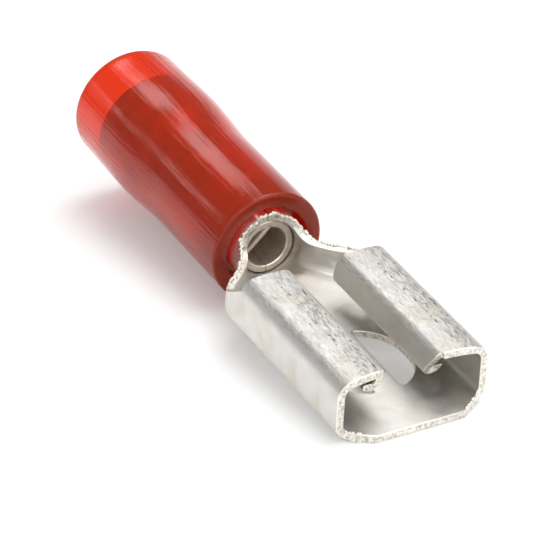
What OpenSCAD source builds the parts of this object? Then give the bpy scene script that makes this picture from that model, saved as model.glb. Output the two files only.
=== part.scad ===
// Female spade terminal with a nylon sleeve, for a 4.75 mm tab and thin stranded wire.
// X runs along the wire barrel toward the receptacle mouth, Z is up, and the origin is
// on the barrel's axis at its rear end, where the bare wire goes in.

/* [Sheet] */
// Thickness of the tinned brass strip
sheet_t = 0.30; // [0.26:0.01:0.34]
// Gap left at the butt seam of a rolled barrel
seam_gap = 0.05; // [0.03:0.01:0.10]

/* [Receptacle] */
// Outer width across the two side walls
box_w = 6.1; // [5.8:0.1:7.0]
// Outer height from the floor's underside to the flat tops
box_h = 2.38; // [2.3:0.02:2.8]
// Length of the rolled wings along the barrel axis
wing_len = 7.15; // [6.4:0.05:9.0]
// Outer radius of the bend between floor and wall
floor_bend_r = 0.55; // [0.40:0.05:0.70]
// Outer radius of the bend between wall and flat top
top_bend_r = 0.65; // [0.50:0.05:0.75]
// Outer radius of the crease where a top turns down
crease_r = 0.32; // [0.30:0.01:0.40]
// Turn of the crease, in degrees
crease_turn = 78; // [70:1:88]
// Outer radius of the rolled spring edge
roll_r = 0.38; // [0.34:0.01:0.44]
// Turn of the rolled spring edge, in degrees
roll_turn = 205; // [170:5:240]
// Clear gap between the two rolled edges
roll_gap = 1.58; // [1.3:0.02:2.0]
// Height between floor and rolled edges, where the tab slides in
tab_slot = 0.74; // [0.60:0.02:0.84]
// How far the rolled edges are cut back at the front
roll_set_back = 0.95; // [0.4:0.05:1.4]
// How far the flat tops are cut back toward the middle at the front
top_set_back = 0.15; // [0.05:0.05:0.40]
// How far the rolled edges reach behind the flat tops
roll_rear_reach = 0.12; // [0:0.02:0.20]

/* [Floor] */
// Length of the floor's nose in front of the walls
nose_len = 0.72; // [0.3:0.02:1.2]
// Width of the nose at its front edge
nose_w = 3.58; // [2.6:0.02:4.2]
// Radius of the round windows' outer side
window_r = 1.76; // [1.4:0.02:1.9]
// Straight stretch between the windows' two round ends
window_stretch = 0.40; // [0.2:0.05:0.8]
// Distance from the walls' front edges to the windows' middle
window_back = 3.42; // [3.0:0.02:4.0]
// Width of the strip between the windows
strip_w = 1.04; // [0.8:0.02:1.3]
// Radius of the windows' inner corners
window_corner_r = 0.18; // [0.10:0.02:0.24]
// Radius of the round detent on the strip
detent_r = 0.40; // [0.30:0.01:0.44]
// Height of the detent above the floor
detent_h = 0.16; // [0.10:0.01:0.22]

/* [Neck] */
// Length of the neck, from the barrel's mouth to the full box section
neck_len = 2.55; // [2.3:0.05:3.4]
// Straight start of the neck before it widens
neck_lead = 0.25; // [0.1:0.05:0.5]
// Height of the barrel's axis above the floor's underside
axis_h = 0.90; // [0.6:0.02:1.2]
// Height of the neck's side edges above the barrel's axis
arm_h = 0.33; // [0.20:0.01:0.45]
// Radius where the barrel's mouth turns into the side edges
arm_fillet_r = 0.95; // [0.6:0.05:1.1]
// Length of the slope from the side edges up to the wings
wing_slope = 1.10; // [0.9:0.05:1.4]
// Rise of that slope
slope_h = 0.66; // [0.50:0.02:0.80]
// How far the slope starts before the neck's end
slope_lead = 0.20; // [0.1:0.05:0.4]

/* [Wire barrel] */
// Outer radius of the wire barrel
barrel_r = 1.46; // [1.40:0.01:1.60]
// Length of the wire barrel
barrel_len = 6.05; // [4.5:0.05:6.4]
// Wall of the rolled liner in the barrel
liner_t = 0.28; // [0.22:0.01:0.32]
// Clearance of the liner in the barrel
liner_gap = 0.05; // [0.03:0.01:0.08]
// How far the liner stops short of the barrel's mouth
liner_inset = 0.06; // [0.02:0.01:0.15]
// How far the liner's mouth narrows over the length of the wire stop
mouth_in = 0.04; // [0.02:0.01:0.08]
// Distance of the wire stop's flat from the axis
stop_d = 0.50; // [0.40:0.01:0.60]
// Thickness of the wire stop
stop_t = 0.16; // [0.12:0.01:0.20]
// Turn of the wire stop about the axis, from the top toward the left, in degrees
stop_turn = 44; // [0:1:90]
// Length of the wire stop along the barrel
stop_len = 0.60; // [0.4:0.05:1.0]

/* [Insulating sleeve] */
// How far the barrel's mouth stands out of the sleeve
sleeve_back = 0.02; // [0:0.01:0.20]
// Overall length of the sleeve
sleeve_len = 11.48; // [11.0:0.02:12.2]
// Outer radius of the narrow front
sleeve_r = 2.28; // [2.2:0.01:2.4]
// Outer radius of the bell at its widest
bell_r = 2.45; // [2.4:0.01:2.7]
// Outer radius of the bell at its rear mouth
bell_mouth_r = 2.39; // [2.34:0.01:2.7]
// Distance from the rear mouth to the widest place
bell_len = 3.72; // [3.2:0.02:4.2]
// Length of the taper between bell and front
taper_len = 2.45; // [1.8:0.05:3.0]
// Wall of the bell
bell_wall = 0.43; // [0.36:0.01:0.46]
// Rounding of the rear rim
rear_round = 0.20; // [0.10:0.01:0.21]
// Rounding of the front rim
front_round = 0.12; // [0.05:0.01:0.20]

/* [Grip sleeve] */
// Wall of the metal sleeve that grips the wire's insulation
grip_t = 0.19; // [0.15:0.01:0.22]
// Distance from the rear mouth to the grip sleeve
grip_inset = 1.98; // [1.6:0.02:2.4]
// How far the grip sleeve ends behind the sleeve's front face
grip_short = 0.95; // [0.6:0.05:1.5]
// Clearance between parts pushed one over the other
fit_gap = 0.01; // [0.005:0.005:0.02]

/* [Hidden] */
$fn = 72;
NYLON = [0.66, 0.14, 0.12];
TIN = [0.79, 0.78, 0.75];
COPPER = [0.72, 0.60, 0.48];

// Places along the barrel axis
barrel_x0 = 0;
barrel_x1 = barrel_x0 + barrel_len;
sleeve_x1 = barrel_x1 - sleeve_back;
sleeve_x0 = sleeve_x1 - sleeve_len;
neck_x1 = barrel_x1 + neck_len;
wing_x0 = neck_x1 + wing_slope - slope_lead;
front_x = wing_x0 + wing_len;
nose_x = front_x + nose_len;
window_x = front_x - window_back;
bell_x1 = sleeve_x0 + bell_len;
taper_x1 = bell_x1 + taper_len;
grip_x0 = sleeve_x0 + grip_inset;
grip_x1 = sleeve_x1 - grip_short;

// Heights from the barrel axis
floor_z = -axis_h;
floor_top_z = floor_z + sheet_t;
top_z = floor_z + box_h;

// Radii that follow from the fits
half_t = sheet_t / 2;
barrel_bore_r = barrel_r - sheet_t;
liner_r = barrel_bore_r - liner_gap;
wire_r = liner_r - liner_t;
grip_front_r = barrel_r + fit_gap;
sleeve_bore_r = grip_front_r + grip_t + fit_gap;
bell_bore_r = bell_r - bell_wall;
grip_rear_r = bell_bore_r - fit_gap - grip_t;
eps = 0.01;
cut = 5;
overlap = 0.3;
bend_step = 12;

// A turtle walk for bent strip: each step is [length, turn, radius of the middle line]
function after_line(p, a, l) = p + l * [cos(a), sin(a)];
function after_bend(p, a, turn, r) = p + r * [sin(a + turn) - sin(a), cos(a) - cos(a + turn)];
function walk(steps, i, p, a) = i == len(steps) ? [] :
    let (l = steps[i][0], turn = steps[i][1], r = steps[i][2])
    let (q = after_line(p, a, l), n = max(1, ceil(turn / bend_step)))
    concat(l > 0 ? [[q, a]] : [],
        turn > 0 ? [for (k = [1:n]) [after_bend(q, a, turn * k / n, r), a + turn * k / n]] : [],
        walk(steps, i + 1, turn > 0 ? after_bend(q, a, turn, r) : q, a + turn));
function side_of(s, d) = s[0] + d * [-sin(s[1]), cos(s[1])];

// Half of the receptacle's section, from the middle of the floor to the end of the roll
roll_mid_r = roll_r - half_t;
crease_mid_r = crease_r - half_t;
down_a = 180 + crease_turn;
roll_c = [roll_gap / 2 + roll_r, sheet_t + tab_slot + roll_r];
roll_start = roll_c - roll_mid_r * [-sin(down_a), cos(down_a)];
crease_end_z = box_h - half_t + crease_mid_r * (cos(180) - cos(down_a));
down_len = (roll_start[1] - crease_end_z) / sin(down_a);
crease_y = roll_start[0] - down_len * cos(down_a) - crease_mid_r * sin(down_a);
wing_steps = [
    [box_w / 2 - floor_bend_r, 90, floor_bend_r - half_t],
    [box_h - floor_bend_r - top_bend_r, 90, top_bend_r - half_t],
    [box_w / 2 - top_bend_r - crease_y, crease_turn, crease_mid_r],
    [down_len, roll_turn, roll_mid_r],
];
half_line = concat([[[0, half_t], 0]], walk(wing_steps, 0, [0, half_t], 0));
half_outer = [for (s = half_line) side_of(s, -half_t)];
half_inner = [for (i = [len(half_line) - 1:-1:0]) side_of(half_line[i], half_t)];

// Neck section: from the round barrel to the box's floor and walls
neck_n = 22;
neck_rings = 18;
round_mid_r = barrel_r - half_t;
wall_run = box_h - floor_bend_r - top_bend_r;
bend_run = (floor_bend_r - half_t) * PI / 2;
floor_run = box_w / 2 - floor_bend_r;
box_run = floor_run + bend_run + wall_run;
function smooth(k) = k * k * (3 - 2 * k);
function round_at(s) = [[round_mid_r * sin(180 * s), axis_h - round_mid_r * cos(180 * s)], 180 * s];
function box_at(l) = l <= floor_run ? [[l, half_t], 0] :
    l <= floor_run + bend_run ?
        let (a = 90 * (l - floor_run) / bend_run)
        [after_bend([floor_run, half_t], 0, a, floor_bend_r - half_t), a] :
        [[box_w / 2 - half_t, l - bend_run - floor_run + floor_bend_r], 90];
function neck_at(s, k) =
    let (r = round_at(s), b = box_at(s * box_run))
    [r[0] * (1 - k) + b[0] * k, r[1] * (1 - k) + b[1] * k];
function neck_line(k, d) = [for (i = [0:neck_n]) side_of(neck_at(i / neck_n, k), d)];
function mirrored(pts) = [for (i = [len(pts) - 1:-1:1]) [-pts[i][0], pts[i][1]]];
function neck_ring(k, d) = concat(
    mirrored(neck_line(k, -d)), neck_line(k, -d),
    [for (i = [neck_n:-1:0]) neck_line(k, d)[i]],
    [for (i = [1:neck_n]) [-neck_line(k, d)[i][0], neck_line(k, d)[i][1]]]);

module along_x(x, len) {
    translate([x, 0, floor_z]) rotate([90, 0, 90]) linear_extrude(len) children();
}

// A prism across the part whose outline is drawn in X and Z
module side_prism(half_w) {
    translate([0, half_w, 0]) rotate([90, 0, 0]) linear_extrude(2 * half_w) children();
}

module tube(x, len, r_out, r_in) {
    translate([x, 0, 0]) rotate([0, 90, 0]) difference() {
        cylinder(h = len, r = r_out);
        translate([0, 0, -cut]) cylinder(h = len + 2 * cut, r = r_in);
    }
}

module wing_section() {
    half = concat(half_outer, half_inner);
    polygon(half);
    mirror([1, 0]) polygon(half);
}

// Rolled wings are cut back at the rear and, as a lead for the tab, at the front
module roll_cuts() {
    reach = box_w / 2 - sheet_t - eps;
    low = floor_top_z + sheet_t;
    side_prism(reach) polygon([
        [neck_x1 - cut, low], [wing_x0 - roll_rear_reach, low],
        [wing_x0 - roll_rear_reach, arm_h + slope_h], [wing_x0, top_z - sheet_t],
        [wing_x0, top_z + 1], [neck_x1 - cut, top_z + 1]]);
    side_prism(crease_y + roll_r) polygon([
        [front_x + cut, low], [front_x - roll_set_back, low],
        [front_x - roll_set_back, floor_top_z + tab_slot],
        [front_x - top_set_back, top_z], [front_x - top_set_back, top_z + 1],
        [front_x + cut, top_z + 1]]);
    translate([0, 0, top_z - top_bend_r]) linear_extrude(top_bend_r + 1) polygon([
        [front_x, -box_w / 2 + top_bend_r], [front_x - top_set_back, -crease_y],
        [front_x - top_set_back, crease_y], [front_x, box_w / 2 - top_bend_r],
        [front_x + cut, box_w / 2 - top_bend_r], [front_x + cut, -box_w / 2 + top_bend_r]]);
}

module nose_cuts() {
    side_prism(box_w) polygon([
        [front_x, floor_top_z + eps], [front_x + cut, floor_top_z + eps],
        [front_x + cut, top_z + 1], [front_x, top_z + 1]]);
    for (side = [-1, 1]) translate([0, 0, floor_z - 1]) linear_extrude(box_h)
        polygon([[front_x, side * box_w], [front_x, side * (box_w - floor_bend_r) / 2],
            [nose_x, side * nose_w / 2], [nose_x + cut, side * nose_w / 2],
            [nose_x + cut, side * box_w]]);
}

module window_outline() {
    for (side = [-1, 1]) intersection() {
        union() {
            for (end = [-1, 1]) translate([end * window_stretch / 2, 0]) circle(r = window_r);
            square([window_stretch, 2 * window_r], center = true);
        }
        hull() for (end = [-1, 1]) {
            inner = strip_w / 2 + window_corner_r;
            reach = window_stretch / 2 + sqrt(pow(window_r, 2) - pow(inner, 2)) - window_corner_r;
            translate([end * reach, side * inner]) circle(r = window_corner_r);
            translate([end * 2 * window_r, side * 2 * window_r]) circle(r = window_corner_r);
        }
    }
}

module receptacle() {
    difference() {
        along_x(neck_x1 - eps, nose_x - neck_x1 + eps) wing_section();
        roll_cuts();
        nose_cuts();
        translate([window_x, 0, floor_z - 1]) linear_extrude(1 + sheet_t + half_t) window_outline();
    }
    dome_r = (pow(detent_r, 2) + pow(detent_h, 2)) / (2 * detent_h);
    translate([window_x, 0, floor_top_z + detent_h - dome_r]) intersection() {
        sphere(r = dome_r);
        translate([0, 0, dome_r - detent_h - half_t]) cylinder(h = cut, r = detent_r);
    }
}

// The neck starts a little inside the barrel's wall and ends inside the box section
module neck() {
    d = half_t - eps / 2;
    count = 4 * neck_n + 2;
    xs = concat([barrel_x1 - overlap],
        [for (j = [0:neck_rings]) barrel_x1 + neck_lead + (neck_len - neck_lead) * j / neck_rings],
        [neck_x1 + overlap]);
    ks = concat([0], [for (j = [0:neck_rings]) smooth(j / neck_rings)], [1]);
    rings = [for (k = ks) neck_ring(k * (1 - eps / 10), d)];
    points = [for (j = [0:len(xs) - 1]) for (p = rings[j]) [xs[j], p[0], p[1] + floor_z]];
    walls = [for (j = [0:len(xs) - 2]) for (i = [0:count - 1])
        let (a = j * count + i, b = j * count + (i + 1) % count)
        each [[a, a + count, b], [b, a + count, b + count]]];
    half = 2 * neck_n;
    function cap(o) = [for (i = [0:half - 1])
        each [[o + i, o + i + 1, o + count - 1 - i], [o + i + 1, o + count - 2 - i, o + count - 1 - i]]];
    last = (len(xs) - 1) * count;
    polyhedron(points, concat(walls, cap(0), [for (f = cap(last)) [f[2], f[1], f[0]]]));
}

// The open top between barrel and wings, seen from the side
module neck_opening() {
    r = arm_fillet_r;
    rise_x = wing_x0 - wing_slope;
    side_prism(box_w) polygon(concat(
        [[barrel_x1, top_z + cut]],
        [for (a = [180:10:270]) [barrel_x1 + r + r * cos(a), arm_h + r + r * sin(a)]],
        [[rise_x, arm_h], [wing_x0, arm_h + slope_h], [wing_x0, top_z + cut]]));
}

module terminal() {
    color(TIN) difference() {
        union() {
            tube(barrel_x0, barrel_len, barrel_r, barrel_bore_r);
            neck();
            receptacle();
        }
        neck_opening();
        translate([barrel_x0 - 1, -seam_gap / 2, 0])
            cube([barrel_len + 2, seam_gap, barrel_r + 1]);
    }
}

// Rolled liner with its own seam underneath and a flat flap that stops the wire
module barrel_liner() {
    len = barrel_len - liner_inset;
    stop_x = barrel_x0 + len - stop_len;
    color(COPPER) difference() {
        union() {
            rotate([0, 90, 0]) rotate_extrude() polygon([
                [wire_r, barrel_x0], [liner_r, barrel_x0], [liner_r, stop_x + stop_len],
                [wire_r - mouth_in, stop_x + stop_len], [wire_r, stop_x]]);
            translate([stop_x, 0, 0]) rotate([stop_turn, 0, 0]) intersection() {
                rotate([0, 90, 0]) cylinder(h = stop_len, r = (liner_r + wire_r) / 2);
                translate([-1, -liner_r, stop_d]) cube([cut, 2 * liner_r, stop_t]);
            }
        }
        translate([barrel_x0 - 1, -seam_gap / 2, -liner_r - 1])
            cube([len + 2, seam_gap, liner_r + 1]);
    }
}

module grip_sleeve() {
    color(COPPER) rotate([0, 90, 0]) rotate_extrude() polygon([
        [grip_rear_r, grip_x0], [grip_rear_r + grip_t, grip_x0],
        [grip_rear_r + grip_t, bell_x1], [grip_front_r + grip_t, taper_x1],
        [grip_front_r + grip_t, grip_x1], [grip_front_r, grip_x1],
        [grip_front_r, taper_x1], [grip_rear_r, bell_x1]]);
}

// A quarter round of a rim, drawn as radius and place along the axis
function rim(r, x, round_r, from) =
    [for (a = [from:15:from + 90]) [r + round_r * cos(a), x + round_r * sin(a)]];

module insulating_sleeve() {
    rear = rear_round;
    front = front_round;
    color(NYLON) rotate([0, 90, 0]) rotate_extrude() polygon(concat(
        [[bell_bore_r, sleeve_x0]],
        rim(bell_mouth_r - rear, sleeve_x0 + rear, rear, 270),
        [[bell_r, bell_x1], [sleeve_r, taper_x1]],
        rim(sleeve_r - front, sleeve_x1 - front, front, 0),
        [[sleeve_bore_r + front, sleeve_x1], [sleeve_bore_r, sleeve_x1 - front],
            [sleeve_bore_r, taper_x1], [bell_bore_r, bell_x1]]));
}

insulating_sleeve();
grip_sleeve();
terminal();
barrel_liner();
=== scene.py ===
# %% [markdown]
# # A female spade terminal in a red nylon sleeve
#
# The real part is a strip of tin-plated brass, about 0.3 mm thick. One end is rolled into
# a tube for the wire, the other is folded into a flat box with two rolled edges that grip
# a 4.75 mm tab. A red nylon sleeve is pushed over the tube, with a metal sleeve inside it.
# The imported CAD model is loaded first, and every new piece is made in its frame, in metres.

# %% Load the CAD frame
import math
import random

import bmesh
import bpy
from mathutils import Matrix, Vector


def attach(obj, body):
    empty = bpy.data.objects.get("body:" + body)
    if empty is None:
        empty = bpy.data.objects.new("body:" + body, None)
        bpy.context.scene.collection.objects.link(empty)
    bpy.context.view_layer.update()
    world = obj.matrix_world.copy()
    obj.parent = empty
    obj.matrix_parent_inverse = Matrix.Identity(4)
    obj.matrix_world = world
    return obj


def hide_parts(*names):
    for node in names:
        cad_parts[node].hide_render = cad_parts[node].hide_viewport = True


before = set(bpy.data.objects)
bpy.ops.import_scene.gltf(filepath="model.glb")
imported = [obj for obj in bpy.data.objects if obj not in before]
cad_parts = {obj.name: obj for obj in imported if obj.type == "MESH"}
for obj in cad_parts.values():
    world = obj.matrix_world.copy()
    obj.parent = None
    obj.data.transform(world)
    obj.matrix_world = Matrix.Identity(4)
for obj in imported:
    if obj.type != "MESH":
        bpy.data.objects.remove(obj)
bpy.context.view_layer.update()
MM = 0.001
print("CAD nodes:", sorted(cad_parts))

# %% [markdown]
# ## The camera
#
# The part was photographed with a long lens from the front, a little to the left and from
# well above. Three axes say all of that: where the camera's right, up and back point in the
# part's own frame. The lens of 232.5 mm keeps the far end almost as large as the near one.

# %% Set up the camera
camera_data = bpy.data.cameras.new("camera")
camera_data.lens = 232.5
camera_data.sensor_width = 36.0
camera_data.clip_start = 0.01
camera_data.clip_end = 10.0
camera = bpy.data.objects.new("camera", camera_data)
bpy.context.scene.collection.objects.link(camera)
right = Vector((0.478058, 0.877253, 0.043445))
up = Vector((-0.502709, 0.232721, 0.832541))
back = Vector((0.720239, -0.419843, 0.552257))
camera_place = Matrix((right, up, back)).transposed().to_4x4()
camera_place.translation = Vector((99.826, -54.516, 70.867)) * MM
camera.matrix_world = camera_place
bpy.context.scene.camera = camera
bpy.context.scene.view_settings.view_transform = "Standard"
print("camera looks along", [round(c, 3) for c in -back])

# %% [markdown]
# ## Small helpers for materials
#
# Colours are written as on a web page, in sRGB, and turned into the linear values that a
# renderer adds up. One function adds any node, sets its sockets and links its inputs. Four
# short ones use it for what comes back in every material: a sum, a range, a noise, a mix.

# %% Colour and node helpers
def linear(hex_colour):
    """The linear red, green and blue of an sRGB colour such as #EEEEEE."""
    channels = [int(hex_colour[i : i + 2], 16) / 255 for i in (1, 3, 5)]
    return [c / 12.92 if c <= 0.04045 else ((c + 0.055) / 1.055) ** 2.4 for c in channels]


def add_node(tree, kind, settings=None, **inputs):
    """Add a node. An input is named as on the node, or by an underscore and its number."""
    node = tree.nodes.new(kind)
    for name, value in (settings or {}).items():
        setattr(node, name, value)
    for name, value in inputs.items():
        key = int(name[1:]) if name[1:].isdigit() else name.replace("_", " ")
        socket = node.inputs[key]
        if isinstance(value, bpy.types.NodeSocket):
            tree.links.new(value, socket)
        elif isinstance(value, str):
            socket.default_value = [*linear(value), 1.0]
        else:
            socket.default_value = value
    return node


def maths(tree, operation, *values):
    """The result of a math node, from numbers or from other nodes' results."""
    inputs = {"_%d" % i: value for i, value in enumerate(values)}
    return add_node(tree, "ShaderNodeMath", {"operation": operation}, **inputs).outputs[0]


def spread(tree, value, low, high, to_low=0.0, to_high=1.0, curve="LINEAR"):
    """Map the range from low to high onto another range, and hold the ends."""
    node = add_node(
        tree, "ShaderNodeMapRange", {"interpolation_type": curve}, Value=value,
        From_Min=low, From_Max=high, To_Min=to_low, To_Max=to_high,
    )
    return node.outputs[0]


def noise(tree, place, size_mm, detail, roughness=0.5):
    """Noise whose coarsest pattern is about this size, in mm."""
    node = add_node(
        tree, "ShaderNodeTexNoise", Vector=place, Scale=1.0 / (size_mm * MM), Detail=detail,
        Roughness=roughness,
    )
    return node.outputs[0]


def mix_colour(tree, factor, first, second):
    """The first colour where the factor is 0, the second where it is 1."""
    node = add_node(
        tree, "ShaderNodeMix", {"data_type": "RGBA"}, Factor=factor, _6=first, _7=second
    )
    return node.outputs[2]


def own_place(tree):
    """The piece's own coordinates, so that a pattern stays with it."""
    return add_node(tree, "ShaderNodeTexCoord").outputs["Object"]


def new_material(name):
    """An empty material and its node tree."""
    material = bpy.data.materials.new(name)
    material.use_nodes = True
    material.node_tree.nodes.clear()
    return material, material.node_tree


# %% [markdown]
# ## The table
#
# The terminal lies on the front rim of its sleeve and on the nose of its floor, so the
# table is tilted by almost seven degrees against the barrel's axis. It is plain white
# paper. A little glow, seen by the camera and by shiny things, lifts it to the white of
# the photograph, and the part's shadow stays on it.

# %% Lay the table under the part
rim_x, rim_z = 6.03, -2.28
nose_x, nose_z = 17.37, -0.90
table_reach, table_gap = 3.0, 0.005
tilt = math.atan2(nose_z - rim_z, nose_x - rim_x)
table_mesh = bmesh.new()
bmesh.ops.create_grid(table_mesh, x_segments=1, y_segments=1, size=table_reach)
bmesh.ops.rotate(table_mesh, verts=table_mesh.verts, matrix=Matrix.Rotation(-tilt, 3, "Y"))
under_rim = Vector((rim_x, 0, rim_z - table_gap)) * MM
bmesh.ops.translate(table_mesh, verts=table_mesh.verts, vec=under_rim)
table_data = bpy.data.meshes.new("table")
table_mesh.to_mesh(table_data)
table_mesh.free()
table = bpy.data.objects.new("table", table_data)
bpy.context.scene.collection.objects.link(table)

paper_glow = 0.16
paper, tree = new_material("white_paper")
ray = add_node(tree, "ShaderNodeLightPath")
shiny = maths(tree, "MAXIMUM", ray.outputs["Is Glossy Ray"], ray.outputs["Is Transmission Ray"])
seen = maths(tree, "MAXIMUM", shiny, ray.outputs["Is Camera Ray"])
sheet = add_node(
    tree, "ShaderNodeBsdfPrincipled", Base_Color="#EEEEEE", Roughness=0.9,
    Emission_Color="#FFFFFF", Emission_Strength=maths(tree, "MULTIPLY", seen, paper_glow),
)
add_node(tree, "ShaderNodeOutputMaterial", Surface=sheet.outputs[0])
table_data.materials.append(paper)
print("table tilt %.1f degrees" % math.degrees(tilt))

# %% [markdown]
# ## The light
#
# A grey studio ceiling, a white backdrop that rises a little above the table on the right,
# a pale front, and four soft boxes. The large one, high up behind the part, gives the soft
# shadow. One lower behind it draws the broad streak along the nylon, a narrow one to the
# left draws the thin streak, and a small one on the left lights the floor of the neck.
#
# The camera, and what is seen through the nylon, get plain white behind the part. What
# metal and gloss mirror is the room, so that its light and dark sides shape the metal.

# %% Light the part
world = bpy.data.worlds.new("studio")
bpy.context.scene.world = world
world.use_nodes = True
tree = world.node_tree
tree.nodes.clear()
ray = add_node(tree, "ShaderNodeLightPath")
toward = add_node(tree, "ShaderNodeTexCoord").outputs["Generated"]
height = add_node(tree, "ShaderNodeSeparateXYZ", Vector=toward).outputs["Z"]


def facing(direction):
    """How much the world's point lies in a direction, from -1 to 1."""
    dot = add_node(
        tree, "ShaderNodeVectorMath", {"operation": "DOT_PRODUCT"}, _0=toward, _1=direction
    )
    return dot.outputs["Value"]


# The levels of light in the room, and where on the way along a direction one level goes
# over into the next.
ceiling_level, left_level, front_level, wall_level = 0.24, 0.40, 1.25, 0.22
backdrop_full, backdrop_end = 0.12, 0.32
wall_starts, wall_full = -0.2, 0.3
front_starts, front_full = 0.1, 0.9
left_full, left_end = -0.8, 0.0
to_the_right, to_the_front = facing((-0.30, 0.95, 0.0)), facing((0.85, -0.20, 0.49))
low = spread(tree, height, backdrop_full, backdrop_end, 1.0, 0.0, "SMOOTHSTEP")
wall_light = spread(
    tree, to_the_right, wall_starts, wall_full, wall_level, 1.0, "SMOOTHSTEP"
)
backdrop = maths(tree, "MULTIPLY", low, wall_light)
pale_front = spread(
    tree, to_the_front, front_starts, front_full, ceiling_level, front_level, "SMOOTHSTEP"
)
left_ceiling = spread(tree, to_the_right, left_full, left_end, left_level, ceiling_level)
above = maths(tree, "MAXIMUM", left_ceiling, pale_front)
room = maths(tree, "MAXIMUM", backdrop, above)
clear = maths(tree, "MAXIMUM", ray.outputs["Is Camera Ray"], ray.outputs["Is Transmission Ray"])
strength = maths(tree, "MAXIMUM", clear, room)
sky = add_node(tree, "ShaderNodeBackground", Color="#FFFFFF", Strength=strength)
add_node(tree, "ShaderNodeOutputWorld", Surface=sky.outputs[0])

middle = Vector((6.0, 0.0, 0.0)) * MM
lamp_distance = 0.5


def soft_box(name, azimuth, elevation, width, height, radiance, roll=0):
    """A lamp of this size in metres, aimed at the part and as bright as radiance says."""
    a, e = math.radians(azimuth), math.radians(elevation)
    direction = Vector((math.cos(e) * math.cos(a), math.cos(e) * math.sin(a), math.sin(e)))
    data = bpy.data.lights.new(name, "AREA")
    data.shape = "RECTANGLE"
    data.size, data.size_y = width, height
    data.energy = 4 * width * height * radiance
    lamp = bpy.data.objects.new(name, data)
    aimed = direction.to_track_quat("Z", "Y").to_matrix().to_4x4()
    turned = aimed @ Matrix.Rotation(math.radians(roll), 4, "Z")
    lamp.matrix_world = Matrix.Translation(middle + direction * lamp_distance) @ turned
    lamp.visible_camera = False
    bpy.context.scene.collection.objects.link(lamp)
    print("%s: %.2f W" % (name, data.energy))


soft_box("key_box", 120, 68, 0.40, 0.40, 2.65)
soft_box("streak_box", 174, 42, 0.19, 0.10, 2.7)
soft_box("strip_box", -142, 17, 0.15, 0.018, 3.4, roll=30)
soft_box("side_box", -89, 46, 0.12, 0.12, 1.3)

# %% [markdown]
# ## The strip's middle line
#
# Bent sheet metal is easiest to model as a surface without thickness, half way through
# the strip. A modifier gives it its thickness later, so that every bend keeps the same
# wall. Here the middle line of the box is walked along, from the middle of the floor,
# round the lower bend, up the wall, over the top and down into the rolled edge.

# %% Describe the strip
# Lengths are in mm and turns in degrees, as in the CAD model.
sheet_t = 0.30
box_w, box_h = 6.1, 2.38
floor_bend_r, top_bend_r, crease_r, crease_turn = 0.55, 0.65, 0.32, 78
roll_r, roll_turn, roll_gap, tab_slot = 0.38, 205, 1.58, 0.74
crown_turn = 12
barrel_r, barrel_len = 1.46, 6.05
neck_len, neck_lead, axis_h = 2.55, 0.25, 0.90
arm_h, arm_fillet_r = 0.33, 0.95
wing_slope, slope_h, slope_lead, wing_len = 1.10, 0.66, 0.20, 7.15
roll_rear_reach, roll_set_back, top_set_back = 0.12, 0.95, 0.15
nose_w = 3.58
window_r, window_stretch, window_back, strip_w, window_corner_r = 1.76, 0.40, 3.42, 1.04, 0.18
half_t = sheet_t / 2
neck_x1 = barrel_len + neck_len
wing_x0 = neck_x1 + wing_slope - slope_lead
front_x = wing_x0 + wing_len

roll_mid_r, crease_mid_r = roll_r - half_t, crease_r - half_t
down = math.radians(180 + crease_turn)
roll_centre = Vector((roll_gap / 2 + roll_r, sheet_t + tab_slot + roll_r))
roll_start = roll_centre + roll_mid_r * Vector((math.sin(down), -math.cos(down)))
crease_end_z = box_h - half_t + crease_mid_r * (-1 - math.cos(down))
down_len = (roll_start.y - crease_end_z) / math.sin(down)
crease_y = roll_start.x - down_len * math.cos(down) - crease_mid_r * math.sin(down)
runs = [
    ("line", box_w / 2 - floor_bend_r, 0),
    ("bend", 90, floor_bend_r - half_t),
    ("line", box_h - floor_bend_r - top_bend_r, 0),
    ("bend", 90 - crown_turn / 2, top_bend_r - half_t),
    ("bend", crown_turn, (box_w / 2 - top_bend_r - crease_y) / math.radians(crown_turn)),
    ("bend", crease_turn - crown_turn / 2, crease_mid_r),
    ("line", down_len, 0),
    ("bend", roll_turn, roll_mid_r),
]


def strip_at(length):
    """The middle line's point at a distance from the middle of the floor, in mm."""
    p, angle = Vector((0, half_t)), 0.0
    for kind, size, r in runs:
        whole = size if kind == "line" else math.radians(size) * r
        step = min(length, whole)
        if kind == "line":
            p = p + step * Vector((math.cos(angle), math.sin(angle)))
        else:
            turn = step / r
            across = math.sin(angle + turn) - math.sin(angle)
            rise = math.cos(angle) - math.cos(angle + turn)
            p = p + r * Vector((across, rise))
            angle += turn
        length -= step
        if length <= 0:
            break
    return p


run_lengths = [size if kind == "line" else math.radians(size) * r for kind, size, r in runs]
floor_run, bend_run, wall_run = run_lengths[:3]
wall_start = floor_run + bend_run
side_run = wall_start + wall_run
print("strip half width %.2f mm" % sum(run_lengths))

# %% [markdown]
# ## Barrel and neck
#
# Between the round barrel and the flat box the strip changes its section bit by bit. Each
# ring of the neck is a mix of the circle and the box, and the mix follows a smooth curve.
# The rings are made by extruding the one before and moving its points to their place. The
# open top follows from how far each ring reaches up its two sides.

# %% Work out the rings
def smooth(k):
    """An S curve from 0 to 1."""
    k = min(max(k, 0.0), 1.0)
    return k * k * (3 - 2 * k)


def eased(a, b, k):
    """From a to b along the S curve."""
    return a + (b - a) * smooth(k)


def round_at(s):
    """The barrel's middle line, from the bottom at 0 to the top at 1."""
    r = barrel_r - half_t
    return Vector((r * math.sin(math.pi * s), axis_h - r * math.cos(math.pi * s)))


floor_lead, floor_change = 0.05, 1.4
floor_share, share_blend = 0.2, 0.4


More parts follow.
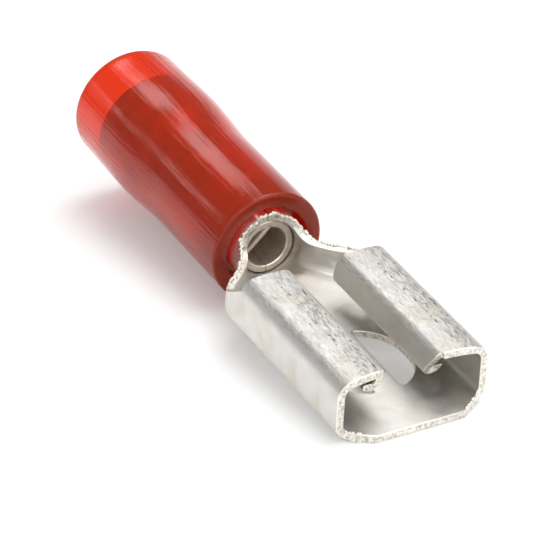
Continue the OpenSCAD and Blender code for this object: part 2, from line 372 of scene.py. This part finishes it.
def neck_at(s, x):
    """The neck's middle line at a place along the axis. Its floor changes sooner."""
    up_the_side = (s - floor_share) / share_blend
    lead = eased(floor_lead, neck_lead, up_the_side)
    run = eased(floor_change, neck_len - neck_lead, up_the_side)
    k = smooth((x - barrel_len - lead) / run)
    return round_at(s).lerp(strip_at(s * side_run), k)


def side_edge_height(x):
    """Height of the open top's edge above the floor's underside."""
    base = axis_h + arm_h
    if x < barrel_len + arm_fillet_r:
        r = arm_fillet_r
        return base + r - math.sqrt(max(r * r - (r - (x - barrel_len)) ** 2, 0))
    return base + slope_h * max(0.0, (x - (wing_x0 - wing_slope)) / wing_slope)


halvings, least_reach, past_wall = 40, 0.3, 1.0


def reach_of(x, at, high):
    """How far along its section a ring reaches, found by halving."""
    low, want = high * least_reach, side_edge_height(x)
    for _ in range(halvings):
        mid = (low + high) / 2
        low, high = (mid, high) if at(mid).y < want else (low, mid)
    return low


floor_steps, bend_steps, wall_steps, crown_steps = 10, 8, 8, 2
neck_top = reach_of(neck_x1, strip_at, side_run + past_wall)
columns = [floor_run * i / floor_steps for i in range(floor_steps)]
columns += [floor_run + bend_run * i / bend_steps for i in range(bend_steps)]
columns += [wall_start + (neck_top - wall_start) * i / wall_steps for i in range(wall_steps + 1)]
share = [c / neck_top for c in columns]
print("columns a side:", len(columns))


def to_point(x, yz, side):
    """A section's point in the frame, in metres."""
    return Vector((x, side * yz.x, yz.y - axis_h)) * MM


def both_sides(x, half):
    """Points from the left edge over the floor to the right edge."""
    left = [to_point(x, p, -1) for p in half[:0:-1]]
    return left + [to_point(x, p, 1) for p in half]


def up_the_wall(column, top):
    """Move a column's length so that the wall ends at top."""
    if column <= wall_start:
        return column
    return wall_start + (top - wall_start) * (column - wall_start) / (neck_top - wall_start)


def ring_points(x):
    """One ring of the open neck or box, up to the edge of its two walls."""
    if x <= neck_x1:
        top = reach_of(x, lambda s: neck_at(s, x), 1.0)
        half = [neck_at(top * c, x) for c in share]
    else:
        top = reach_of(x, strip_at, side_run + past_wall)
        half = [strip_at(up_the_wall(c, top)) for c in columns]
    return both_sides(x, half)


# %% Roll the barrel and draw out the neck
def extend(bm, verts, points):
    """Extrude a chain of points and move the new chain to its place."""
    old = set(verts)
    edges = [bm.edges.get(pair) for pair in zip(verts, verts[1:])]
    made = bmesh.ops.extrude_edge_only(bm, edges=edges)["geom"]
    follow = {}
    for e in made:
        if isinstance(e, bmesh.types.BMEdge):
            first, second = e.verts
            if first in old and second not in old:
                follow[first] = second
            elif second in old and first not in old:
                follow[second] = first
    for v in verts:
        if v not in follow:
            near = [e.other_vert(v) for e in v.link_edges]
            follow[v] = next(o for o in near if o not in old and (o.co - v.co).length < 1e-9)
    fresh = [follow[v] for v in verts]
    for v, p in zip(fresh, points):
        v.co = p
    return fresh


strip = bmesh.new()
seam_gap = 0.03
seam = seam_gap / 2 / (math.pi * barrel_r)
mouth_top = reach_of(barrel_len, lambda s: neck_at(s, barrel_len), 1.0)
crown = [mouth_top + (1 - seam - mouth_top) * (i + 1) / crown_steps for i in range(crown_steps)]
around = [mouth_top * c for c in share] + crown


def barrel_points(x):
    """One ring of the barrel, closed but for its seam."""
    return both_sides(x, [round_at(s) for s in around])


ring = [strip.verts.new(p) for p in barrel_points(0.0)]
for a, b in zip(ring, ring[1:]):
    strip.edges.new((a, b))
barrel_steps, neck_steps = 8, 16
for i in range(1, barrel_steps + 1):
    ring = extend(strip, ring, barrel_points(barrel_len * i / barrel_steps))
ring = ring[crown_steps : len(ring) - crown_steps]
fillet_end = barrel_len + arm_fillet_r
# The fillet starts at 20 degrees, so that its first ring is wider than the edge's bevel.
fillet_xs = [fillet_end - arm_fillet_r * math.cos(math.radians(a)) for a in range(20, 91, 14)]
neck_run = neck_x1 - fillet_end
neck_xs = [fillet_end + neck_run * i / neck_steps for i in range(1, neck_steps + 1)]
for x in fillet_xs + neck_xs:
    ring = extend(strip, ring, ring_points(x))
neck_ring = ring
print("barrel and neck:", len(strip.faces), "faces")

# %% [markdown]
# ## Walls, tops and rolled edges
#
# Past the neck the section stays the same, so the wall, the top and the roll are one long
# extrusion on each side. Each line of points starts and ends where the real strip was cut:
# the rolls stand back at the front, as a lead for the tab.

# %% Extrude the two sides
count = len(columns)
bend_start = floor_steps
floor_edge = {}
wing_lengths = []
start = reach_of(wing_x0, strip_at, side_run + past_wall)
marks = [sum(run_lengths[:i]) for i in range(4, 9)]
roll_steps, roll_last = 9, 0.84
steps_in = [5, 8, 5, 6, roll_steps]
previous = start
for mark, n in zip(marks, steps_in):
    part_way = [(i + 1) / n for i in range(n)]
    # The column before the roll's tip stands back, so that the tip's bevel has room.
    if n == roll_steps:
        part_way = [roll_last * (i + 1) / (n - 1) for i in range(n - 1)] + [1.0]
    wing_lengths += [previous + (mark - previous) * k for k in part_way]
    previous = mark
crease_start = marks[1]


def front_end(length, p):
    """Where a line of points ends at the front, in mm along the barrel axis."""
    if length <= wall_start:
        corner = (box_w - floor_bend_r) / 2
        if p.x < corner:
            return front_x + (corner - p.x) / (corner - nose_w / 2) * (nose_x - front_x)
        return front_x
    if length <= marks[0]:
        return front_x
    if length <= crease_start:
        flat = box_w / 2 - top_bend_r
        return front_x - top_set_back * (flat - p.x) / (flat - crease_y)
    drop = (box_h - p.y) / (box_h - sheet_t - tab_slot)
    return front_x - top_set_back - (roll_set_back - top_set_back) * min(drop, 1.0)


def rear_end(length, p):
    """Where a line of points starts at the rear, in mm along the barrel axis."""
    if length <= crease_start:
        return wing_x0
    drop = (box_h - sheet_t - p.y) / (box_h - sheet_t - axis_h - arm_h - slope_h)
    return wing_x0 - roll_rear_reach * min(max(drop, 0.0), 1.0)


long_steps, rear_steps = 14, 3
rear_xs = [neck_x1 + (wing_x0 - neck_x1) * i / rear_steps for i in range(1, rear_steps + 1)]
for side in (-1, 1):
    half = neck_ring[count - 1 :] if side == 1 else neck_ring[count - 1 :: -1]
    chain = half[bend_start:]
    edge_line = [chain[0]]
    for x in rear_xs:
        points = ring_points(x)
        points = points[count - 1 :] if side == 1 else points[count - 1 :: -1]
        chain = extend(strip, chain, points[bend_start:])
        edge_line.append(chain[0])
    for length in wing_lengths:
        p = strip_at(length)
        tip = strip.verts.new(to_point(rear_end(length, p), p, side))
        strip.edges.new((chain[-1], tip))
        chain.append(tip)
    wall_top = reach_of(wing_x0, strip_at, side_run + past_wall)
    lengths = [up_the_wall(c, wall_top) for c in columns[bend_start:]] + wing_lengths
    for i in range(1, long_steps + 1):
        points = []
        for length in lengths:
            p = strip_at(length)
            a, b = rear_end(length, p), front_end(length, p)
            points.append(to_point(a + (b - a) * i / long_steps, p, side))
        chain = extend(strip, chain, points)
        edge_line.append(chain[0])
    floor_edge[side] = edge_line
print("with walls and rolls:", len(strip.faces), "faces")

# %% [markdown]
# ## The floor and its windows
#
# The floor is flat, so it is filled in one go between the neck, the two sides, the slanted
# nose and the two window outlines. A window starts as a circle, is stretched and cut by a
# plane, and has its two corners rounded.

# %% Cut the windows and fill the floor
level = half_t - axis_h
window_x = front_x - window_back
window_steps, corner_steps, corner_offset = 64, 6, window_corner_r * 1.4
window_edges = []
for side in (-1, 1):
    outline = bmesh.new()
    bmesh.ops.create_circle(outline, cap_ends=True, segments=window_steps, radius=window_r)
    for v in outline.verts:
        v.co.x += window_stretch / 2 * (1 if v.co.x > 0 else -1)
    cut_plane = Vector((0, strip_w / 2, 0))
    bmesh.ops.bisect_plane(
        outline, geom=outline.verts[:] + outline.edges[:] + outline.faces[:],
        plane_co=cut_plane, plane_no=(0, 1, 0), clear_inner=True,
    )
    on_cut = [v for v in outline.verts if abs(v.co.y - strip_w / 2) < 1e-4]
    on_cut.sort(key=lambda v: v.co.x)
    bmesh.ops.bevel(
        outline, geom=[on_cut[0], on_cut[-1]], offset=corner_offset, segments=corner_steps,
        profile=0.5, affect="VERTICES", material=-1,
    )
    face = outline.faces[:][0]
    loop = [v.co.copy() for v in face.verts]
    outline.free()
    made = [strip.verts.new(Vector((window_x + p.x, side * p.y, level)) * MM) for p in loop]
    window_edges += [strip.edges.new((a, b)) for a, b in zip(made, made[1:] + made[:1])]

nose = [strip.verts.new(Vector((nose_x, side * nose_w / 2, level)) * MM) for side in (-1, 1)]
nose_line = [floor_edge[-1][-1], *nose, floor_edge[1][-1]]
rim = [strip.edges.new((a, b)) for a, b in zip(nose_line, nose_line[1:])] + window_edges
across = neck_ring[count - 1 - floor_steps : count + floor_steps]
for line in (across, floor_edge[-1], floor_edge[1]):
    for a, b in zip(line, line[1:]):
        rim.append(strip.edges.get((a, b)))
filled = bmesh.ops.triangle_fill(strip, use_beauty=True, use_dissolve=False, edges=rim)
floor_faces = [g for g in filled["geom"] if isinstance(g, bmesh.types.BMFace)]
print("floor:", len(floor_faces), "triangles")

# %% [markdown]
# ## Thickness and sheared edges
#
# Solidify gives the surface its 0.3 mm, half to each side, and a second material slot for
# the rim, where the press sheared through tin and brass. A small bevel rounds the edges,
# because a sheared edge is never knife sharp and its round catches a bright line. The
# bevel's faces get a third material, whose near-white colour is in part a painted
# highlight for that line.

# %% Make the strip solid
edge_round, sharp_turn = 0.04, 50
bmesh.ops.remove_doubles(strip, verts=strip.verts, dist=1e-7)
bmesh.ops.recalc_face_normals(strip, faces=strip.faces)
strip.normal_update()
down_face = min(strip.faces, key=lambda f: f.calc_center_median().z)
if down_face.normal.z > 0:
    bmesh.ops.reverse_faces(strip, faces=strip.faces)
for face in strip.faces:
    face.smooth = True
strip_data = bpy.data.meshes.new("folded_strip")
strip.to_mesh(strip_data)
strip.free()
folded_strip = bpy.data.objects.new("folded_strip", strip_data)
bpy.context.scene.collection.objects.link(folded_strip)
thick = folded_strip.modifiers.new("thickness", "SOLIDIFY")
thick.thickness = sheet_t * MM
thick.offset = 0
thick.use_even_offset = True
thick.material_offset_rim = 1
soft_edge = folded_strip.modifiers.new("sheared edges", "BEVEL")
soft_edge.width = edge_round * MM
# The bevel's faces take the third material, whose near-white colour is partly painted highlight.
soft_edge.material = 2
soft_edge.segments = 2
soft_edge.limit_method = "ANGLE"
soft_edge.angle_limit = math.radians(sharp_turn)
soft_edge.harden_normals = True
soft_edge.use_clamp_overlap = False
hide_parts("terminal")
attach(folded_strip, "root")

# %% [markdown]
# ## The detent
#
# A round dimple on the strip between the windows drops into the hole of the tab. It is a
# cap cut from a sphere, and its flat side lies a little way down in the strip.

# %% Raise the detent
piece_sharp, cap_steps = 35, 48


def keep_piece(name, bm):
    """Turn a bmesh into a smooth piece at the origin, with sharp edges kept."""
    bmesh.ops.recalc_face_normals(bm, faces=bm.faces)
    data = bpy.data.meshes.new(name)
    bm.to_mesh(data)
    bm.free()
    data.shade_smooth()
    data.set_sharp_from_angle(angle=math.radians(piece_sharp))
    piece = bpy.data.objects.new(name, data)
    bpy.context.scene.collection.objects.link(piece)
    print(name, len(data.polygons), "faces")
    return piece


def cut_cap(name, centre, radius, cut_z):
    """A sphere about centre, cut off flat at cut_z and closed, in mm."""
    bm = bmesh.new()
    bmesh.ops.create_uvsphere(
        bm, u_segments=cap_steps, v_segments=cap_steps, radius=radius * MM
    )
    bmesh.ops.translate(bm, verts=bm.verts, vec=Vector(centre) * MM)
    cut = bmesh.ops.bisect_plane(
        bm, geom=bm.verts[:] + bm.edges[:] + bm.faces[:],
        plane_co=Vector((0, 0, cut_z)) * MM, plane_no=(0, 0, 1), clear_inner=True,
    )
    rim = [g for g in cut["geom_cut"] if isinstance(g, bmesh.types.BMEdge)]
    bmesh.ops.holes_fill(bm, edges=rim, sides=0)
    return keep_piece(name, bm)


detent_r, detent_h = 0.40, 0.16
dome_r = (detent_r**2 + detent_h**2) / (2 * detent_h)
floor_z, detent_sink = sheet_t - axis_h, 0.02
dome_middle = (window_x, 0, floor_z + detent_h - dome_r)
detent = cut_cap("detent", dome_middle, dome_r, floor_z - detent_sink)
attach(detent, "root")

# %% [markdown]
# ## The burr
#
# Where the press sheared the strip it left a ragged burr, which catches the light in bright
# points. It is made of small beads, scattered by chance along the mouth of the barrel and
# the arms of the neck, and at the two corners of the nose. The beads get the burnished
# material, so their bright points are partly painted highlight.

# %% Scatter the burr
luck = random.Random(5)
mouth_beads, arm_beads, nose_beads = 5, 11, 12
arm_spacing, bead_scatter = 0.09, 0.02
bead_least, bead_most, nose_bead_most = 0.05, 0.09, 0.10
burr_line = []
for i in range(mouth_beads + 1):
    turn = math.pi * (mouth_top + (1 - seam - mouth_top) * i / mouth_beads)
    for side in (-1, 1):
        burr_line.append((barrel_len, side * barrel_r * math.sin(turn), -barrel_r * math.cos(turn)))
arm_xs = [barrel_len + arm_fillet_r * (1 - math.cos(math.radians(a))) for a in range(2, 90, 5)]
arm_xs += [barrel_len + arm_fillet_r + arm_spacing * i for i in range(1, arm_beads + 1)]
for x in arm_xs:
    edge = neck_at(reach_of(x, lambda s: neck_at(s, x), 1.0), x)
    for side in (-1, 1):
        burr_line.append((x, side * (edge.x + half_t), edge.y - axis_h))
burr = bmesh.new()


def add_bead(spot, size):
    """A bead of this radius in mm."""
    place = Matrix.Translation(spot * MM)
    bmesh.ops.create_icosphere(burr, subdivisions=2, radius=size * MM, matrix=place)


for spot in burr_line:
    shift = Vector([luck.gauss(0, bead_scatter) for _ in range(3)])
    add_bead(Vector(spot) + shift, luck.uniform(bead_least, bead_most))
corner_w = (box_w - floor_bend_r) / 2
for side in (-1, 1):
    for _ in range(nose_beads):
        k = luck.uniform(0.1, 0.9)
        size = luck.uniform(bead_least, nose_bead_most)
        x = nose_x + k * (front_x - nose_x)
        y = side * (nose_w / 2 + k * (corner_w - nose_w / 2))
        z = floor_z + luck.choice((0.0, -sheet_t)) * luck.uniform(0.8, 1.0)
        add_bead(Vector((x - size / 2, y, z)), size)
burr_beads = keep_piece("burr_beads", burr)
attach(burr_beads, "root")

# %% [markdown]
# ## Turned pieces
#
# The nylon sleeve, the metal sleeve in it and the liner are round, so each is a profile
# that is spun about the barrel's axis.

# %% Spin the nylon sleeve
def spin_piece(name, profile, turns=1.0, start_angle=0.0, steps=96):
    """Spin a closed profile of (x, radius) points about the X axis, in mm."""
    bm = bmesh.new()
    ring = [bm.verts.new(Vector((x, 0, r)) * MM) for x, r in profile]
    edges = [bm.edges.new((a, b)) for a, b in zip(ring, ring[1:] + ring[:1])]
    turned = Matrix.Rotation(start_angle, 3, "X")
    bmesh.ops.rotate(bm, verts=ring, cent=(0, 0, 0), matrix=turned)
    whole = turns >= 1.0
    bmesh.ops.spin(
        bm, geom=ring + edges, cent=(0, 0, 0), axis=(1, 0, 0), angle=2 * math.pi * turns,
        steps=steps, use_merge=whole,
    )
    if not whole:
        ends = [e for e in bm.edges if e.is_boundary]
        bmesh.ops.holes_fill(bm, edges=ends, sides=0)
    bmesh.ops.remove_doubles(bm, verts=bm.verts, dist=1e-8)
    return keep_piece(name, bm)


def turned_edge(x, r, radius, angles):
    """Points of a rounded edge about (x, r), one for each angle from the axis."""
    turns = [math.radians(a) for a in angles]
    return [(x + radius * math.cos(t), r + radius * math.sin(t)) for t in turns]


sleeve_x0, bell_x1, taper_x1, sleeve_x1 = -5.45, -1.73, 0.72, 6.03
rear_round, front_round, mouth_break, entry_break = 0.20, 0.12, 0.04, 0.03
swell_steps, shoulder_steps, taper_steps = 10, 24, 16
rear_r, bell_r, front_r, bore_r, entry_r = 2.39, 2.45, 2.28, 1.67, 2.02
bell_x0, shoulder_x = bell_x1 - 0.4, taper_x1 + 0.5
outer = turned_edge(sleeve_x0 + rear_round, rear_r - rear_round, rear_round, range(180, 89, -15))
rear_x = sleeve_x0 + rear_round
for k in range(1, swell_steps + 1):
    x = rear_x + (bell_x0 - rear_x) * k / swell_steps
    outer.append((x, eased(rear_r, bell_r, k / swell_steps)))
for k in range(1, shoulder_steps + 1):
    x = bell_x0 + (shoulder_x - bell_x0) * k / shoulder_steps
    outer.append((x, eased(bell_r, front_r, k / shoulder_steps)))
outer += turned_edge(sleeve_x1 - front_round, front_r - front_round, front_round, range(90, -1, -15))
# Points part way along the bore keep its faces from getting too long.
bore = [(sleeve_x1, bore_r + front_round)]
bore.append((sleeve_x1 - mouth_break, bore_r + mouth_break))
bore += [(sleeve_x1 - front_round, bore_r), (4.0, bore_r), (2.0, bore_r)]
for k in range(taper_steps + 1):
    x = taper_x1 - (taper_x1 - bell_x1) * k / taper_steps
    bore.append((x, eased(bore_r, entry_r, k / taper_steps)))
bore += [(-4.0, entry_r), (sleeve_x0 + entry_break, entry_r)]
bore.append((sleeve_x0, entry_r + entry_break))
nylon_sleeve = spin_piece("nylon_sleeve", outer + bore, steps=128)
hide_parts("insulating_sleeve")
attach(nylon_sleeve, "root")

# %% [markdown]
# ## The metal grip sleeve
#
# Inside the nylon sits a thin drawn tube of tinned copper. Its wide rear end is pressed
# round the wire's insulation and its narrow end sits on the barrel. It starts 2 mm inside
# the nylon, which is why the nylon's rear end glows and the rest is dark. It is spun too,
# from one line that is copied outwards by the wall of 0.19 mm.

# %% Spin the grip sleeve
grip_x0, grip_x1, grip_wall = -3.47, 5.08, 0.19
grip_r0, grip_r1 = 1.82, 1.47
tube_line = [(grip_x0, grip_r0), (bell_x1, grip_r0)]
for k in range(1, taper_steps + 1):
    x = bell_x1 + (taper_x1 - bell_x1) * k / taper_steps
    tube_line.append((x, eased(grip_r0, grip_r1, k / taper_steps)))
tube_line.append((grip_x1, grip_r1))
outside = [(x, r + grip_wall) for x, r in reversed(tube_line)]
grip = spin_piece("metal_grip_sleeve", tube_line + outside)
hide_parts("grip_sleeve")
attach(grip, "root")

# %% [markdown]
# ## The rolled liner
#
# A second, rolled strip lines the barrel and doubles the wall that is crimped. Its joint
# is at the bottom, opposite the barrel's, so the spin stops just short of a full turn. The
# front edge has a small chamfer on both sides, and each shows as a fine bright circle. The
# chamfers get the burnished material, so their bright circles are partly painted highlight.

# %% Spin the liner
liner_len, liner_r0, liner_r1, chamfer, joint = 5.99, 0.83, 1.11, 0.04, 0.03
liner_profile = [(0, liner_r0), (0, liner_r1), (liner_len - chamfer, liner_r1)]
liner_profile += [(liner_len, liner_r1 - chamfer), (liner_len, liner_r0 + chamfer)]
liner_profile.append((liner_len - chamfer, liner_r0))
open_part = joint / (2 * math.pi)
liner = spin_piece(
    "rolled_liner", liner_profile, turns=1 - open_part,
    start_angle=math.pi * (1 + open_part), steps=72,
)
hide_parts("barrel_liner")
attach(liner, "root")

# %% [markdown]
# ## The wire stop
#
# Across the liner's front end runs a thin bright bar, where the wire's strands stop. It is
# a small plate with broken edges, turned by 44 degrees as in the photograph.

# %% Add the wire stop inside the liner
stop_len, stop_w, stop_t, stop_break = 0.60, 1.50, 0.16, 0.02
stop_x, stop_up, stop_angle = 5.69, 0.58, 44
stop = bmesh.new()
bmesh.ops.create_cube(stop, size=1.0)
bmesh.ops.scale(stop, verts=stop.verts, vec=Vector((stop_len, stop_w, stop_t)) * MM)
bmesh.ops.bevel(
    stop, geom=stop.edges[:], offset=stop_break * MM, segments=2, profile=0.5,
    affect="EDGES", material=-1,
)
bmesh.ops.translate(stop, verts=stop.verts, vec=Vector((stop_x, 0, stop_up)) * MM)
stop_turn = Matrix.Rotation(math.radians(stop_angle), 3, "X")
bmesh.ops.rotate(stop, verts=stop.verts, cent=(0, 0, 0), matrix=stop_turn)
wire_stop = keep_piece("wire_stop", stop)
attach(wire_stop, "root")

# %% [markdown]
# ## The nylon
#
# The sleeve is clear red polyamide, moulded and glossy. Light passes through it and picks up
# the colour on the way, so the end without metal in it glows orange and the rest, with the
# metal sleeve behind it, is deep red. A share of plain red under the gloss stands for the
# light that the nylon scatters. Fine lines along the sleeve, left by the mould, break up
# the long highlight, and a slow change in gloss makes it look handled.

# %% Make the nylon
nylon, tree = new_material("clear_red_polyamide")
place = own_place(tree)
drawn = add_node(tree, "ShaderNodeMapping", Vector=place, Scale=(0.02, 1.0, 1.0)).outputs[0]
lines = noise(tree, drawn, 0.12, 3.0)
gloss = spread(tree, noise(tree, place, 0.5, 4.0), 0.35, 0.7, 0.07, 0.12)
relief = add_node(tree, "ShaderNodeBump", Strength=0.8, Distance=0.02 * MM, Height=lines)
shell = add_node(
    tree, "ShaderNodeBsdfPrincipled", Base_Color="#EA4E1C", IOR=1.46, Roughness=gloss,
    Transmission_Weight=0.78, Specular_IOR_Level=0.18, Normal=relief.outputs[0],
)
depth = add_node(tree, "ShaderNodeVolumeAbsorption", Color="#FAA420", Density=4200.0)
add_node(
    tree, "ShaderNodeOutputMaterial", Surface=shell.outputs[0], Volume=depth.outputs[0]
)
nylon_sleeve.data.materials.append(nylon)
print(nylon.name, len(tree.nodes), "nodes")

# %% [markdown]
# ## The tin plate
#
# The strip was plated with tin before it was stamped, which gives the eye a soft, nearly
# white metal, matt enough to blur all that it mirrors. The walls are smooth with faint
# warm patches. The folding tool rubbed the tops: fine grey scratches run along them. In one
# band on each side they are drawn denser, and this darker band is painted shade; it sits
# further out on the right top than on the left. A row of small pits follows that band. The
# real scratches are about 0.03 mm wide; at this size they would only make noise in a
# picture, so the pattern here is 0.09 mm. The scratches follow the box, so their noise is
# stretched along X.

# %% Make the tin plate
def finish_metal(tree, colour, roughness, relief=None):
    """Close a metal's tree. A metal's colour is a tint on what it mirrors."""
    bumps = {"Normal": relief.outputs[0]} if relief else {}
    metal = add_node(
        tree, "ShaderNodeBsdfPrincipled", Base_Color=colour, Metallic=1.0,
        Roughness=roughness, **bumps
    )
    add_node(tree, "ShaderNodeOutputMaterial", Surface=metal.outputs[0])
    print("metal with", len(tree.nodes), "nodes")


# Where the marks of the folding tool and the band of painted shade lie on the tops, as
# heights above the barrel's axis and as distances from the middle of the box.
top_from, top_full = 1.15 * MM, 1.35 * MM
shade_band_shift, shade_band_y, shade_band_wave = 0.34 * MM, 1.96 * MM, 0.4 * MM
shade_band_full, shade_band_end = 0.35 * MM, 0.60 * MM
pit_y, pit_full, pit_end = 0.28 * MM, 0.02 * MM, 0.08 * MM

tin, tree = new_material("bright_tin_plate")
place = own_place(tree)
axes = add_node(tree, "ShaderNodeSeparateXYZ", Vector=place)
rolled = add_node(tree, "ShaderNodeMapping", Vector=place, Scale=(0.25, 1.0, 1.0)).outputs[0]
dashed = add_node(tree, "ShaderNodeMapping", Vector=place, Scale=(0.35, 1.0, 1.0)).outputs[0]
drag = noise(tree, rolled, 0.09, 4.0, 0.75)
dents = noise(tree, place, 0.6, 4.0)
grit = noise(tree, place, 0.13, 3.0, 0.6)
on_top = spread(tree, axes.outputs["Z"], top_from, top_full)

# A band on each top where the scratches are drawn denser, as painted shade; the bands sit at
# different places on the left and the right top.
shifted = maths(tree, "SUBTRACT", axes.outputs["Y"], shade_band_shift)
side_y = maths(tree, "ABSOLUTE", shifted)
off_shade_band = maths(tree, "ABSOLUTE", maths(tree, "SUBTRACT", side_y, shade_band_y))
wavy = maths(tree, "MULTIPLY_ADD", dents, shade_band_wave, off_shade_band)
scratch_and_shade_band = spread(tree, wavy, shade_band_full, shade_band_end, 1.0, 0.45, "SMOOTHSTEP")
off_pits = maths(tree, "ABSOLUTE", maths(tree, "SUBTRACT", off_shade_band, pit_y))
near_pits = spread(tree, off_pits, pit_full, pit_end, 0.13, 0.0)
crowded = maths(tree, "ADD", noise(tree, dashed, 0.10, 2.0), near_pits)
pits = maths(tree, "MULTIPLY", spread(tree, crowded, 0.66, 0.76), on_top)

# %% Press and colour the tin
top_grit = maths(tree, "MULTIPLY", grit, on_top)
top_drag = maths(tree, "MULTIPLY", drag, on_top)
pressed = maths(tree, "SUBTRACT", maths(tree, "ADD", top_grit, top_drag), pits)
fine = add_node(tree, "ShaderNodeBump", Strength=0.8, Distance=0.014 * MM, Height=pressed)
relief = add_node(
    tree, "ShaderNodeBump", Strength=0.5, Distance=0.03 * MM, Height=dents,
    Normal=fine.outputs[0],
)
streaks = spread(tree, drag, 0.44, 0.60)
# Scratches on the tops, denser in the band, where their grey is painted shade.
scratches_and_painted_shade = maths(tree, "MULTIPLY", maths(tree, "MULTIPLY", streaks, scratch_and_shade_band), on_top)
patches = spread(tree, noise(tree, place, 1.2, 3.0), 0.42, 0.72)
clean = mix_colour(tree, patches, "#DEDCD8", "#D8D2C8")
# The grey #A2A09C is the scratches' colour, and in the band it is painted shade.
scratched_and_shaded_tin = mix_colour(tree, scratches_and_painted_shade, clean, "#A2A09C")
colour = mix_colour(tree, pits, scratched_and_shaded_tin, "#7C7974")
finish_metal(tree, colour, spread(tree, dents, 0.35, 0.65, 0.42, 0.56), relief)

# %% [markdown]
# ## The sheared edge
#
# Where the press cut the strip, brass and smeared tin lie open. The cut face is uneven and
# mottled, pale beside dull, so its colour and its height follow one noise of 0.12 mm.

# %% Make the sheared edge
sheared, tree = new_material("sheared_brass_edge")
torn = noise(tree, own_place(tree), 0.12, 3.0)
colour = mix_colour(tree, spread(tree, torn, 0.42, 0.70), "#EFEBE2", "#B0AA9E")
relief = add_node(tree, "ShaderNodeBump", Strength=0.6, Distance=0.02 * MM, Height=torn)
finish_metal(tree, colour, 0.42, relief)

# %% [markdown]
# ## The burnished corners and their painted highlight
#
# The corners along a cut are pressed smooth and catch the light as a bright line. Their
# near-white colour, brighter than the tin, is partly that smooth finish and partly a painted
# highlight for the line. The beads of the burr and the liner's chamfers have the same
# finish.

# %% Make the burnished corners of the edge, with their painted highlight
burnished_and_painted_highlight, tree = new_material("burnished_corner_painted_highlight")
rubbed = noise(tree, own_place(tree), 0.2, 2.0)
# A near-white colour: partly the smooth finish, partly painted highlight.
finish_metal(tree, mix_colour(tree, rubbed, "#FBF8F0", "#E6E0D2"), 0.30)
folded_strip.data.materials.append(tin)
folded_strip.data.materials.append(sheared)
folded_strip.data.materials.append(burnished_and_painted_highlight)
detent.data.materials.append(tin)
# The burr's beads get the same partly painted highlight.
burr_beads.data.materials.append(burnished_and_painted_highlight)

# %% [markdown]
# ## The two tube finishes
#
# The liner and its stop are tinned copper, a little warm and matt. The grip sleeve lies
# under the nylon and is duller, with brown stains as wide as 1.5 mm, which show through the
# nylon as slow changes of its red.

# %% Make the liner's and the grip sleeve's finish
tube, tree = new_material("tinned_copper_tube")
cloud = noise(tree, own_place(tree), 0.3, 4.0)
finish_metal(tree, mix_colour(tree, cloud, "#EAE2D6", "#C8B4A0"), 0.62)
wire_stop.data.materials.append(tube)
# The chamfers take the near-white material, which is partly painted highlight.
liner.data.materials.append(burnished_and_painted_highlight)
liner.data.materials.append(tube)
# Only the chamfers look forward at a slant.
for face in liner.data.polygons:
    slanted = 0.3 < face.normal.x < 0.9
    face.material_index = 0 if slanted else 1

dark_tube, tree = new_material("dull_copper_tube")
stains = spread(tree, noise(tree, own_place(tree), 1.5, 4.0), 0.4, 0.65)
finish_metal(tree, mix_colour(tree, stains, "#C0B09A", "#8E7860"), 0.5)
grip.data.materials.append(dark_tube)
